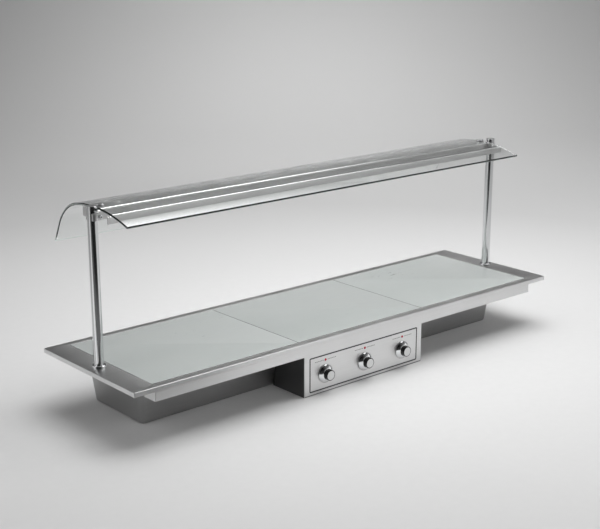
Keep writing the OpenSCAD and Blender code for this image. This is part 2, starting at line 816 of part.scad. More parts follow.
// ceramic blocks that hold the tubes' ends, hung from the reflectors
module lamp_holders() {
  body = [18, 16];
  grip = 3; // length of tube inside each holder
  color([0.93, 0.92, 0.88]) for (i = [-1, 0, 1], s = [-1, 1])
    translate([i * lamp_pitch + s * (tube_len / 2 - grip + body[0] / 2), lamp_y, 0]) difference() {
      block([-body[0] / 2, -body[1] / 2, hood_bot + 1.5], [body[0] / 2, body[1] / 2, reflector_top - 1]);
      translate([-s * (body[0] / 2 - grip), 0, lamp_z]) rotate([0, -s * 90, 0])
        cylinder(d = tube_d, h = grip + 1);
    }
}

module reflector_screws() {
  head = [8, 4.5, 1.4]; // lower and upper diameter, and height
  stem = [3.3, 8];
  color([0.85, 0.85, 0.85]) for (i = [-1, 0, 1], s = [-1, 1])
    translate([i * lamp_pitch + s * lamp_screw, lamp_screw_y, hood_top]) {
      cylinder(d1 = head[0], d2 = head[1], h = head[2]);
      translate([0, 0, -stem[1]]) cylinder(d = stem[0], h = stem[1] + eps);
    }
}

// ---- drawing ----

deck_frame();
tile_left();
tile_mid();
tile_right();
tile_seal();
heater_left();
heater_mid();
heater_right();
limiters();
insulation_slab();
carrier_tray();
well_tub();
front_panel();
control_box();
fascia_plate();
pilot_lenses();
regulator_1();
regulator_2();
regulator_3();
regulator_nuts();
spindle_1();
spindle_2();
spindle_3();
knob_1();
knob_2();
knob_3();
knob_face_1();
knob_face_2();
knob_face_3();
terminal_block();
cable_gland();
post_left();
post_right();
collar_left();
collar_right();
post_washers();
post_locknuts();
post_caps();
lamp_housing();
housing_end_left();
housing_end_right();
clamp_left();
clamp_right();
clamp_screws();
front_rail();
rail_arms();
rail_gasket();
sneeze_glass();
glass_pads();
glass_washers();
glass_buttons();
lamp_reflectors();
lamp_tubes();
lamp_holders();
reflector_screws();
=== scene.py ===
"""Drop-in heated buffet unit with a curved glass guard.

Finishes, the pieces that stand for CAD nodes, then floor, light and camera.
"""

import math

import bmesh
import bpy
from mathutils import Matrix, Vector


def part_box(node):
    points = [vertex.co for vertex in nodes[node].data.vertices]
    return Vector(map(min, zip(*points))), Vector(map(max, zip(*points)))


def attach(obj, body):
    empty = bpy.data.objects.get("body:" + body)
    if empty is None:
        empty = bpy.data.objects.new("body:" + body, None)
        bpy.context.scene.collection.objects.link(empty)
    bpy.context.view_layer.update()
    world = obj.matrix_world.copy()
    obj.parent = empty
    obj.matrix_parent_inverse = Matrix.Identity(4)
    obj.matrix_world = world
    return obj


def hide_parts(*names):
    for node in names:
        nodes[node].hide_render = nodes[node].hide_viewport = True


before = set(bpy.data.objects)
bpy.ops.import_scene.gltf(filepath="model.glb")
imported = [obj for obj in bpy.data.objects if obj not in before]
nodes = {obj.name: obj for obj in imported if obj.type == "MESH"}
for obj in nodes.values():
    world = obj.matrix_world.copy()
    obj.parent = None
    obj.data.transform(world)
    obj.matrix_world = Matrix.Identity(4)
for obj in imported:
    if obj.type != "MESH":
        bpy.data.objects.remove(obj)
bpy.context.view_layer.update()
UNIT = "unit"
MM = 0.001


# ---- finishes ----


class Shader:
    """A material's node tree, with short calls for the nodes that the finishes share."""

    def __init__(self, name, **sockets):
        self.material = bpy.data.materials.new(name)
        self.material.use_nodes = True
        self.tree = self.material.node_tree
        self.bsdf = self.tree.nodes["Principled BSDF"]
        self.place = self.add("ShaderNodeTexCoord").outputs["Object"]
        for socket, value in sockets.items():
            self.bsdf.inputs[socket.replace("_", " ")].default_value = value

    def add(self, kind):
        return self.tree.nodes.new(kind)

    def link(self, source, socket):
        self.tree.links.new(source, socket)

    def noise(self, per_metre, detail=3.0, roughness=0.55):
        """Noise that changes that many times a metre along X, Y and Z."""
        mapping = self.add("ShaderNodeMapping")
        mapping.inputs["Scale"].default_value = per_metre
        self.link(self.place, mapping.inputs["Vector"])
        noise = self.add("ShaderNodeTexNoise")
        noise.inputs["Scale"].default_value = 1.0
        noise.inputs["Detail"].default_value = detail
        noise.inputs["Roughness"].default_value = roughness
        self.link(mapping.outputs["Vector"], noise.inputs["Vector"])
        return noise.outputs["Fac"]

    def spread(self, source, low, high, start=0.3, end=0.7):
        """source from start to end becomes low to high."""
        node = self.add("ShaderNodeMapRange")
        node.inputs["From Min"].default_value = start
        node.inputs["From Max"].default_value = end
        node.inputs["To Min"].default_value = low
        node.inputs["To Max"].default_value = high
        self.link(source, node.inputs["Value"])
        return node.outputs["Result"]

    def mix(self, factor, low, high):
        """Colour low where factor is 0, high where it is 1. Either may be a colour or a socket."""
        node = self.add("ShaderNodeMix")
        node.data_type = "RGBA"
        for socket, value in ((node.inputs["A"], low), (node.inputs["B"], high)):
            socket = next(s for s in node.inputs if s.name == socket.name and s.type == "RGBA")
            if hasattr(value, "is_output"):
                self.link(value, socket)
            else:
                socket.default_value = (*value, 1.0)
        self.link(factor, node.inputs["Factor"])
        return next(s for s in node.outputs if s.type == "RGBA")

    def average(self, a, b):
        """Halfway between two sockets."""
        node = self.add("ShaderNodeMath")
        node.operation = "MULTIPLY_ADD"
        node.inputs[1].default_value = 0.5
        half = self.add("ShaderNodeMath")
        half.operation = "MULTIPLY"
        half.inputs[1].default_value = 0.5
        self.link(a, node.inputs[0])
        self.link(b, half.inputs[0])
        self.link(half.outputs[0], node.inputs[2])
        return node.outputs[0]

    def bump(self, height, distance, strength=0.5):
        node = self.add("ShaderNodeBump")
        node.inputs["Strength"].default_value = strength
        node.inputs["Distance"].default_value = distance
        self.link(height, node.inputs["Height"])
        self.link(node.outputs["Normal"], self.bsdf.inputs["Normal"])

    def colour(self, source):
        self.link(source, self.bsdf.inputs["Base Color"])

    def rough(self, source):
        self.link(source, self.bsdf.inputs["Roughness"])


def grey(value, tint=0.0):
    """A grey, bluer for a positive tint and warmer for a negative one."""
    return (value * (1 - tint), value, value * (1 + tint))


def brushed(name, dark, light, rough, grain):
    """Satin metal: fine grain along the axis with the small number, and broad soft smears."""
    s = Shader(name, Metallic=1.0)
    lines = s.noise(grain, detail=4.0, roughness=0.7)
    smears = s.noise((5.0, 7.0, 9.0), detail=2.0)
    both = s.average(lines, smears)
    s.colour(s.mix(s.spread(both, 0.0, 1.0), dark, light))
    s.rough(s.spread(both, rough[0], rough[1]))
    s.bump(lines, 0.02 * MM, 0.35)
    return s.material


def polished(name, tone, rough, streaks):
    """Bright metal: hairline streaks, and faint handling marks that dull it in patches."""
    s = Shader(name, Metallic=1.0)
    lines = s.noise(streaks, detail=2.0)
    marks = s.noise((30.0,) * 3, detail=5.0, roughness=0.65)
    s.colour(s.mix(s.spread(lines, 0.0, 1.0), grey(tone * 0.92, 0.01), grey(tone, 0.01)))
    s.rough(s.spread(s.average(lines, marks), rough[0], rough[1]))
    s.bump(marks, 0.01 * MM, 0.15)
    return s.material


def moulded(name, dark, light, rough, grain=900.0):
    """Plastic, rubber or ceramic: a fine even texture with slow changes of shade."""
    s = Shader(name)
    fine = s.noise((grain,) * 3, detail=2.0)
    slow = s.noise((25.0,) * 3, detail=3.0)
    s.colour(s.mix(s.spread(slow, 0.0, 1.0), dark, light))
    s.rough(s.spread(s.average(fine, slow), rough[0], rough[1]))
    s.bump(fine, 0.05 * MM, 0.3)
    return s.material


def clear_glass(name, tint):
    """Clear sheet glass with faint smears, which lets the lamps' light through."""
    s = Shader(name, Transmission_Weight=1.0, IOR=1.46, Base_Color=(*tint, 1.0))
    smears = s.noise((4.0, 9.0, 9.0), detail=5.0, roughness=0.6)
    s.rough(s.spread(smears, 0.0, 0.03, 0.45, 0.75))
    path = s.add("ShaderNodeLightPath")
    through = s.add("ShaderNodeBsdfTransparent")
    through.inputs["Color"].default_value = (*[c ** 0.5 for c in tint], 1.0)
    either = s.add("ShaderNodeMixShader")
    s.link(path.outputs["Is Shadow Ray"], either.inputs["Fac"])
    s.link(s.bsdf.outputs["BSDF"], either.inputs[1])
    s.link(through.outputs["BSDF"], either.inputs[2])
    s.link(either.outputs["Shader"], s.tree.nodes["Material Output"].inputs["Surface"])
    return s.material


def edge_glass(name):
    """Polished glass edge: its green tint its own, its dark front and paler tail a painted
    reflection.
    """
    s = Shader(name, Specular_IOR_Level=0.6)
    parts = s.add("ShaderNodeSeparateXYZ")
    s.link(s.place, parts.inputs["Vector"])
    slow = s.noise((30.0,) * 3, detail=3.0)
    # painted reflection: dark along the front and pale down the tail, for what the edge mirrors and
    # shows through it
    dark = s.mix(s.spread(slow, 0.0, 1.0), (0.07, 0.09, 0.084), (0.11, 0.135, 0.125))
    pale = s.mix(s.spread(slow, 0.0, 1.0), (0.50, 0.54, 0.53), (0.58, 0.62, 0.605))
    front, tail = -20 * MM, 100 * MM
    s.colour(s.mix(s.spread(parts.outputs["Y"], 0.0, 1.0, front, tail), dark, pale))
    s.rough(s.spread(slow, 0.08, 0.16))
    return s.material


def tile_glass(name):
    """Pale grey-green glass-ceramic: even, with a slow cloudiness and faint wiping marks."""
    s = Shader(name, Coat_Weight=0.3, Coat_Roughness=0.12, Specular_IOR_Level=0.5)
    cloud = s.noise((3.0, 5.0, 5.0), detail=3.0)
    wipes = s.noise((18.0, 140.0, 60.0), detail=5.0, roughness=0.65)
    s.colour(s.mix(s.spread(cloud, 0.0, 1.0), (0.475, 0.505, 0.495), (0.515, 0.54, 0.53)))
    s.rough(s.spread(s.average(wipes, cloud), 0.26, 0.36))
    s.bump(wipes, 0.01 * MM, 0.1)
    return s.material


ALONG_X = (9.0, 700.0, 700.0)  # grain, in changes a metre
ALONG_Z = (900.0, 900.0, 14.0)
EVEN = (160.0, 160.0, 160.0)
FINISH = {
    "satin_steel": brushed("satin_steel", grey(0.60), grey(0.69), (0.26, 0.38), ALONG_X),
    "front_steel": brushed("front_steel", grey(0.68), grey(0.78), (0.34, 0.46), ALONG_X),
    # painted shade: the control box's steel is near black, for the shade on its sides
    "box_steel": brushed("box_steel", grey(0.15), grey(0.21), (0.36, 0.5), ALONG_X),
    "dark_steel": brushed("dark_steel", grey(0.36), grey(0.46), (0.36, 0.5), ALONG_X),
    "hood_steel": brushed("hood_steel", grey(0.68), grey(0.76), (0.27, 0.34), ALONG_X),
    "tile_glass": tile_glass("tile_glass"),
    "clear_glass": clear_glass("clear_glass", (0.985, 0.996, 0.992)),
    "glass_edge": edge_glass("glass_edge"),
    "seal_rubber": moulded("seal_rubber", grey(0.045), grey(0.075), (0.55, 0.75)),
    "pad_silicone": moulded("pad_silicone", grey(0.4), grey(0.47), (0.4, 0.55)),
    "heater_foil": brushed("heater_foil", grey(0.55), grey(0.7), (0.25, 0.45), EVEN),
    "mineral_wool": moulded(
        "mineral_wool", (0.56, 0.5, 0.3), (0.72, 0.66, 0.42), (0.8, 1.0), 260.0
    ),
    "ceramic": moulded("ceramic", grey(0.66, -0.03), grey(0.78, -0.03), (0.35, 0.5), 300.0),
    "polished_steel": polished("polished_steel", 0.74, (0.06, 0.12), ALONG_Z),
    # painted highlight: paler, glossier steel for the housing's and rail's round front corners
    "highlight_edge_steel": brushed("highlight_edge_steel", grey(0.84), grey(0.94), (0.1, 0.16), ALONG_X),
    "chrome": polished("chrome", 0.86, (0.03, 0.09), (60.0, 60.0, 60.0)),
    "screw_steel": brushed("screw_steel", grey(0.82), grey(0.92), (0.34, 0.44), (200.0,) * 3),
    # painted reflection: black standing for the dark that the knobs' chrome mirrors
    "painted_reflection_black": moulded("painted_reflection_black", grey(0.008), grey(0.014), (0.06, 0.12), 300.0),
    "knob_face": brushed("knob_face", grey(0.62), grey(0.74), (0.3, 0.42), (500.0, 30.0, 500.0)),
    "zinc_steel": brushed(
        "zinc_steel", (0.42, 0.4, 0.33), (0.56, 0.54, 0.46), (0.3, 0.5), (90.0,) * 3
    ),
    "black_plastic": moulded("black_plastic", grey(0.012), grey(0.022), (0.38, 0.52)),
    "pale_plastic": moulded(
        "pale_plastic", (0.62, 0.58, 0.46), (0.7, 0.66, 0.54), (0.35, 0.5)
    ),
    "red_lens": moulded(
        "red_lens", (0.45, 0.012, 0.03), (0.62, 0.02, 0.05), (0.08, 0.16), 200.0
    ),
    "print_grey": moulded("print_grey", grey(0.14), grey(0.2), (0.5, 0.65)),
    "quartz": clear_glass("quartz", (0.96, 0.96, 0.95)),
    "filament": brushed("filament", grey(0.2), grey(0.4), (0.4, 0.6), (400.0,) * 3),
}


# ---- mesh building ----


def arc(centre, radius, start, end, steps):
    """Points on an arc, angles in degrees."""
    angles = [math.radians(start + (end - start) * k / steps) for k in range(steps + 1)]
    return [(centre[0] + radius * math.cos(a), centre[1] + radius * math.sin(a)) for a in angles]


def rounded_ring(half_x, half_y, radius, z, centre=(0.0, 0.0), steps=6):
    """A level rectangle with round corners, as one ring of points."""
    ring = []
    for turn, (sx, sy) in enumerate(((1, 1), (-1, 1), (-1, -1), (1, -1))):
        corner = (centre[0] + sx * (half_x - radius), centre[1] + sy * (half_y - radius))
        ring += arc(corner, radius, 90 * turn, 90 * turn + 90, steps)
    return [(x, y, z) for x, y in ring]


class Shape:
    """Points and faces gathered for one piece."""

    def __init__(self):
        self.points, self.faces, self.slots = [], [], []

    def loft(self, rings, closed=False, move=Matrix()):
        """Skins rings of equal length. closed joins the last to the first, else both are capped."""
        first, count = len(self.points), len(rings[0])
        self.points += [move @ Vector(p) for ring in rings for p in ring]
        pairs = len(rings) if closed else len(rings) - 1
        made = []
        for i in range(pairs):
            a, b = first + i * count, first + (i + 1) % len(rings) * count
            made += [(a + k, a + (k + 1) % count, b + (k + 1) % count, b + k) for k in range(count)]
        if not closed:
            made += [tuple(range(first + count - 1, first - 1, -1))]
            made += [tuple(range(len(self.points) - count, len(self.points)))]
        self.faces += made
        self.slots += [0] * len(made)
        return self

    def lathe(self, profile, move=Matrix(), segments=64, radius_at=None):
        """Turns (radius, height) points about Z. radius_at(radius, height, angle) may dent it."""
        rings = []
        for r, h in profile:
            ring = []
            for k in range(segments):
                a = 2 * math.pi * k / segments
                rr = radius_at(r, h, a) if radius_at else r
                ring.append((rr * math.cos(a), rr * math.sin(a), h))
            rings.append(ring)
        return self.loft(rings, move=move)

    def block(self, low, high, bevel):
        """A block with softened edges all round."""
        cx, cy = (low[0] + high[0]) / 2, (low[1] + high[1]) / 2
        hx, hy = (high[0] - low[0]) / 2, (high[1] - low[1]) / 2
        inner = (hx - bevel, hy - bevel, bevel * 0.3)
        rings = [
            rounded_ring(*inner, low[2], (cx, cy), 2),
            rounded_ring(hx, hy, bevel, low[2] + bevel, (cx, cy), 2),
            rounded_ring(hx, hy, bevel, high[2] - bevel, (cx, cy), 2),
            rounded_ring(*inner, high[2], (cx, cy), 2),
        ]
        return self.loft(rings)

    def make(self, name, body, finishes, stands_for=(), angle=30):
        """The piece, riding on that body and standing for those CAD nodes."""
        mesh = bpy.data.meshes.new(name)
        mesh.from_pydata([tuple(p) for p in self.points], [], self.faces)
        mesh.validate()
        finishes = [finishes] if isinstance(finishes, str) else finishes
        for finish in finishes:
            mesh.materials.append(FINISH[finish])
        mesh.polygons.foreach_set("material_index", self.slots)
        mesh.shade_smooth()
        mesh.set_sharp_from_angle(angle=math.radians(angle))
        piece = bpy.data.objects.new(name, mesh)
        bpy.context.scene.collection.objects.link(piece)
        outward(mesh)
        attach(piece, body)
        if stands_for:
            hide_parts(*stands_for)
        return piece


def outward(mesh):
    """Turns every closed shell's faces outwards."""
    shell = bmesh.new()
    shell.from_mesh(mesh)
    bmesh.ops.recalc_face_normals(shell, faces=shell.faces)
    shell.to_mesh(mesh)
    shell.free()


def facing_front(centre):
    """The frame at centre whose Z runs out to the front and whose Y runs up."""
    return Matrix.Translation(Vector(centre)) @ Matrix.Rotation(math.radians(90), 4, "X")


def middle(node):
    """The middle of a node's box."""
    low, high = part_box(node)
    return (low + high) / 2


# ---- carried-over CAD nodes ----

KEPT = {
    "front_steel": ["front_panel", "fascia_plate"],
    # painted shade: the box's sides take the near-black steel
    "box_steel": ["control_box"],
    "dark_steel": ["carrier_tray"],
    "hood_steel": ["clamp_left", "clamp_right", "rail_arms"],
    "seal_rubber": ["tile_seal", "glass_washers"],
    "pad_silicone": ["glass_pads"],
    "heater_foil": ["heater_left", "heater_mid", "heater_right", "lamp_reflectors"],
    "mineral_wool": ["insulation_slab"],
    "ceramic": ["limiters", "lamp_holders"],
    "zinc_steel": [
        "regulator_nuts",
        "post_washers",
        "post_locknuts",
        "spindle_1",
        "spindle_2",
        "spindle_3",
    ],
    "black_plastic": ["regulator_1", "regulator_2", "regulator_3", "cable_gland"],
    "pale_plastic": ["terminal_block"],
    "quartz": ["lamp_tubes"],
}
BEVEL = {  # how wide a carried-over node's edges are softened, in mm
    "front_panel": 0.5,
    "fascia_plate": 0.25,
    "control_box": 0.5,
    "clamp_left": 0.6,
    "clamp_right": 0.6,
    "rail_arms": 0.4,
    "cable_gland": 0.4,
    "terminal_block": 0.4,
}


def dress(node, finish):
    """Gives a CAD node its finish, smooth round faces and softened edges."""
    piece = nodes[node]
    piece.data.materials.clear()
    piece.data.materials.append(FINISH[finish])
    if node in BEVEL:
        flat = piece.modifiers.new("flat", "DECIMATE")
        flat.decimate_type = "DISSOLVE"
        flat.angle_limit = math.radians(1)
        soft = piece.modifiers.new("soft", "BEVEL")
        soft.width = BEVEL[node] * MM
        soft.segments = 2
        soft.limit_method = "ANGLE"
        soft.angle_limit = math.radians(40)
        soft.harden_normals = False
    piece.data.shade_smooth()
    piece.data.set_sharp_from_angle(angle=math.radians(32))


for finish, members in KEPT.items():
    for member in members:
        dress(member, finish)


# ---- deck ----

SHEET = 2 * MM  # thickness of the deck's steel
deck_low, deck_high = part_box("deck_frame")
seal_low, seal_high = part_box("tile_seal")
tub_low, tub_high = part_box("well_tub")
RIM_RINGS = (7, 11)  # rings of the deck's section between which the turned-down rim lies


def deck():
    """One folded sheet: pocket for the tiles, flange with a rolled edge, turned-down rim."""
    hx, hy, top = deck_high.x, deck_high.y, deck_high.z
    fx, fy, ledge = seal_high.x, seal_high.y, seal_low.z
    roll, lip, hem = 1.4 * MM, 0.5 * MM, 0.4 * MM
    pocket_corner, rim_corner = 1.5 * MM, 2.2 * MM
    inside_tub = 30 * MM  # how far in the pocket's floor ends, for the well's opening
    cx, cy = (tub_low.x + tub_high.x) / 2, (tub_low.y + tub_high.y) / 2
    wx = (tub_high.x - tub_low.x) / 2 - inside_tub
    wy = (tub_high.y - tub_low.y) / 2 - inside_tub
    well = [wx, wy, 12 * MM]
    rings = [
        rounded_ring(*well, ledge, (cx, cy)),
        rounded_ring(fx, fy, pocket_corner, ledge),
        rounded_ring(fx, fy, pocket_corner, top - lip),
        rounded_ring(fx + lip * 0.3, fy + lip * 0.3, pocket_corner, top - lip * 0.3),
        rounded_ring(fx + lip, fy + lip, 2 * MM, top),
    ]
    for turn in (90, 67.5, 45, 22.5, 0):
        a = math.radians(turn)
        inset = roll * (1 - math.cos(a))
        z = top - roll * (1 - math.sin(a))
        rings.append(rounded_ring(hx - inset, hy - inset, rim_corner, z))
    rings += [
        rounded_ring(hx, hy, rim_corner, deck_low.z + hem),
        rounded_ring(hx - hem, hy - hem, 2 * MM, deck_low.z),
        rounded_ring(hx - SHEET, hy - SHEET, 1 * MM, deck_low.z),
        rounded_ring(hx - SHEET, hy - SHEET, 1 * MM, top - SHEET),
        rounded_ring(fx + SHEET, fy + SHEET, 3 * MM, top - SHEET),
        rounded_ring(fx + SHEET, fy + SHEET, 3 * MM, ledge - SHEET),
        rounded_ring(*well, ledge - SHEET, (cx, cy)),
    ]
    shape = Shape().loft(rings, closed=True)
    around = len(rings[0])
    # painted light: the rim, the same sheet as the top, takes the paler front_steel so that its
    # faces read lighter than the top
    for k in range(RIM_RINGS[0] * around, RIM_RINGS[1] * around):
        shape.slots[k] = 1
    shape.make("deck", UNIT, ["satin_steel", "front_steel"], ["deck_frame"])


def tiles():
    """Glass tiles with ground edges, which take the colour of the seal beside them."""
    arris, corner = 0.5 * MM, 1 * MM
    for side in ("left", "mid", "right"):
        low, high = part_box(f"tile_{side}")
        centre = ((low.x + high.x) / 2, (low.y + high.y) / 2)
        hx, hy = (high.x - low.x) / 2, (high.y - low.y) / 2
        steps = (
            (arris, low.z),
            (0.0, low.z + arris),
            (0.0, high.z - arris),
            (arris * 0.3, high.z - arris * 0.3),
            (arris, high.z),
        )
        rings = [rounded_ring(hx - inset, hy - inset, corner, z, centre) for inset, z in steps]
        shape = Shape().loft(rings)
        for k in range(len(shape.slots) - 2):  # all but the two flat faces
            shape.slots[k] = 1
        shape.make(f"heated_tile_{side}", UNIT, ["tile_glass", "seal_rubber"], [f"tile_{side}"])


def tub():
    """Pressed well: leaning walls, round vertical corners and a rolled floor edge."""
    cx, cy = (tub_low.x + tub_high.x) / 2, (tub_low.y + tub_high.y) / 2
    flange, corner, roll, sheet = 10 * MM, 14 * MM, 9 * MM, 1.5 * MM
    top = tub_high.z
    lean = math.tan(math.radians(8))
    floor_x = (tub_high.x - tub_low.x) / 2 - flange - top * lean
    floor_y = (tub_high.y - tub_low.y) / 2 - flange - top * lean

    def ring(grow, radius, z):
        return rounded_ring(floor_x + grow, floor_y + grow, radius, z, (cx, cy), 8)

    def wall(z, inset):
        grow = z * lean - inset
        return ring(grow, corner + grow, z)

    def foot(inset, steps=5):
        """The floor's rolled edge, from the floor up to the wall, on one side of the sheet."""
        rings = []
        for k in range(steps + 1):
            a = math.radians(90 * k / steps)
            r = roll - inset
            grow = roll * lean - (roll - r * math.sin(a))
            rings.append(ring(grow, max(corner + grow, 2 * MM), roll - r * math.cos(a)))
        return rings

    outer = foot(0.0) + [wall(top - flange * 0.2, 0.0)]
    lip = [ring(top * lean + flange, corner + flange, z) for z in (top - sheet, top)]
    inner = [wall(top, sheet)] + foot(sheet)[::-1]
    shape = Shape().loft(outer + lip + inner)
    piece = shape.make("well", UNIT, "dark_steel", ["well_tub"], angle=40)
    cut_vents(piece, cx, cy)


def cut_vents(piece, cx, cy):
    """Cooling slots through the well's floor, in one group under each tile."""
    group_pitch, slot_pitch = 384 * MM, 16 * MM
    half_wide, half_long, corner, reach = 2.5 * MM, 30 * MM, 2.4 * MM, 5 * MM
    cutter = Shape()
    for group in (-1, 0, 1):
        for k in range(-3, 4):
            at = (cx + group * group_pitch + k * slot_pitch, cy)
            ends = [rounded_ring(half_wide, half_long, corner, z, at, 4) for z in (-reach, reach)]
            cutter.loft(ends)
    mesh = bpy.data.meshes.new("slots")
    mesh.from_pydata([tuple(p) for p in cutter.points], [], cutter.faces)
    outward(mesh)
    slots = bpy.data.objects.new("slots", mesh)
    bpy.context.scene.collection.objects.link(slots)
    cut = piece.modifiers.new("vents", "BOOLEAN")
    cut.object = slots
    cut.operation = "DIFFERENCE"
    cut.solver = "EXACT"
    bpy.context.view_layer.update()
    cut_piece = piece.evaluated_get(bpy.context.evaluated_depsgraph_get())
    solid = bpy.data.meshes.new_from_object(cut_piece)
    piece.modifiers.clear()
    piece.data = solid
    bpy.data.objects.remove(slots)


# ---- controls ----


def knob(index):
    """Domed chrome skirt, waisted grip with a pointer groove, and a pale face disc; the grip's side
    and rim are gloss black, a painted reflection of dark on the chrome.
    """
    low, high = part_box(f"knob_{index}")
    front = facing_front(((low.x + high.x) / 2, high.y, (low.z + high.z) / 2))
    height = high.y - low.y
    skirt = (high.x - low.x) / 2
    face_low, face_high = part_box(f"knob_face_{index}")
    face = (face_high.x - face_low.x) / 2
    grip = face + 2.1 * MM
    rim, neck = 2 * MM, 9 * MM  # heights between which the dome rises
    hollow, hollow_deep = 11 * MM, 5.5 * MM  # under the skirt
    seat, crown = 0.7 * MM, 1.3 * MM  # depth of the disc's seat, radius of the grip's edge
    groove_half, groove_deep = 0.7 * MM, 1.0 * MM

    dome_z = (grip**2 + neck**2 - skirt**2 - rim**2) / (2 * (neck - rim))
    start = math.degrees(math.atan2(rim - dome_z, skirt))
    end = math.degrees(math.atan2(neck - 0.6 * MM - dome_z, grip))
    profile = [(0.0, hollow_deep), (hollow, hollow_deep), (hollow, 0.3 * MM)]
    profile += [(hollow + 0.3 * MM, 0.0), (skirt - 0.5 * MM, 0.0), (skirt - 0.15 * MM, 0.2 * MM)]
    profile += [(skirt, 0.6 * MM), (skirt, rim - 0.3 * MM)]
    profile += arc((0.0, dome_z), math.hypot(skirt, rim - dome_z), start, end, 14)[1:]
    waist = len(profile)
    profile += [(grip, neck + 0.2 * MM), (grip, height - crown - 0.1 * MM)]
    profile += arc((grip - crown, height - crown - 0.1 * MM), crown, 10, 90, 5)
    profile += [(face + 0.25 * MM, height), (face + 0.1 * MM, height - 0.15 * MM)]
    profile += [(face + 0.1 * MM, height - seat), (0.0, height - seat)]

    def groove(r, h, angle):
        """The radius, less in a narrow groove along the top of the grip."""
        across = abs(angle - math.pi / 2) * max(r, grip)
        on_grip = h > neck + 0.1 * MM and r > face + 0.6 * MM
        return r - groove_deep if on_grip and across < groove_half else r

    segments = 144
    shape = Shape().lathe(profile, front, segments, groove)
    # painted reflection: from the neck up, the grip's side, rim and seat are gloss black for the
    # dark that chrome mirrors there
    for k in range((waist - 1) * segments, (len(profile) - 1) * segments):
        shape.slots[k] = 1
    body = f"control_{index}"
    finishes = ["chrome", "painted_reflection_black"]
    shape.make(f"knob_shell_{index}", body, finishes, [f"knob_{index}"], angle=35)

    disc = [(0.0, height - seat), (face - 0.1 * MM, height - seat), (face, height - 0.6 * MM)]
    disc += [(face, height - 0.3 * MM), (face - 0.2 * MM, height - 0.2 * MM)]
    disc += [(0.0, height - 0.2 * MM)]
    shape = Shape().lathe(disc, front, 72)
    shape.make(f"knob_disc_{index}", body, "knob_face", [f"knob_face_{index}"], angle=25)


def lenses():
    """Red pilot lenses with a domed front."""
    low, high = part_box("pilot_lenses")
    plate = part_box("fascia_plate")[0].y
    radius, proud = (high.z - low.z) / 2, plate - low.y
    rim, stem, back, flange = 0.4 * MM, radius - 1.1 * MM, -11 * MM, -0.8 * MM
    shape = Shape()
    for index in (1, 2, 3):
        profile = [(0.0, back), (stem, back), (stem, flange), (radius, flange), (radius, rim)]
        for k in range(1, 9):
            a = math.radians(90 * k / 8)
            profile.append((radius * math.cos(a), rim + (proud - rim) * math.sin(a)))
        centre = (middle(f"knob_{index}").x, plate, (low.z + high.z) / 2)
        shape.lathe(profile, facing_front(centre), 32)
    shape.make("lenses", UNIT, "red_lens", ["pilot_lenses"], angle=50)


def marks():
    """Plain printed ticks beside each lens, in place of lettering."""
    first, pitch, half_wide, half_tall = 9 * MM, 5.2 * MM, 1.8 * MM, 0.9 * MM
    proud, sunk = 0.08 * MM, 0.05 * MM
    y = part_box("fascia_plate")[0].y
    z = middle("pilot_lenses").z
    shape = Shape()
    for index in (1, 2, 3):
        for side in (-1, 1):
            for k in range(6):
                x = middle(f"knob_{index}").x + side * (first + pitch * k)
                low = (x - half_wide, y - proud, z - half_tall)
                high = (x + half_wide, y + sunk, z + half_tall)
                shape.block(low, high, 0.03 * MM)
    shape.make("ticks", UNIT, "print_grey")


def fascia_line():
    """Black strip in the groove round the fascia plate: painted shade, a dark line for the groove's
    shadow.
    """
    low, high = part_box("fascia_plate")
    wide, proud, deep, lap, corner = 3.4 * MM, 0.25 * MM, 0.5 * MM, 0.6 * MM, 0.5 * MM
    centre = ((low.x + high.x) / 2, (low.z + high.z) / 2)
    hx, hz = (high.x - low.x) / 2 - lap, (high.z - low.z) / 2 - lap
    section = ((0.0, 0.0), (0.0, -proud), (wide, -proud), (wide, 0.0), (wide, deep), (0.0, deep))
    rings = []
    for grow, y in section:
        ring = rounded_ring(hx + grow, hz + grow, corner + grow, 0.0, centre)
        rings.append([(x, low.y + y, z) for x, z, _ in ring])
    # painted shade: the strip is black to stand in for the groove's shadow
    Shape().loft(rings, closed=True).make("fascia_shade_strip", UNIT, "black_plastic")


def hem():
    """Rolled lower edge of the control box's face; its near-black colour is painted shade along the
    bottom.
    """
    low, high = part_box("control_box")
    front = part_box("front_panel")[0].y
    radius, proud, gap, inset = 1.5 * MM, 0.5 * MM, 0.1 * MM, 0.5 * MM
    # painted shade: a near-black rounding for the dark line of the bottom edge and its contact
    # shadow
    section = arc((front - proud + radius, radius + gap), radius, 90, 270, 8)
    rings = [[(x, y, z) for y, z in section] for x in (low.x + inset, high.x - inset)]
    Shape().loft(rings).make("box_hem_shade_line", UNIT, "box_steel")


# ---- posts and gantry ----


def upright(x, y, z):
    """The frame at that place whose Z runs up."""
    return Matrix.Translation((x, y, z))


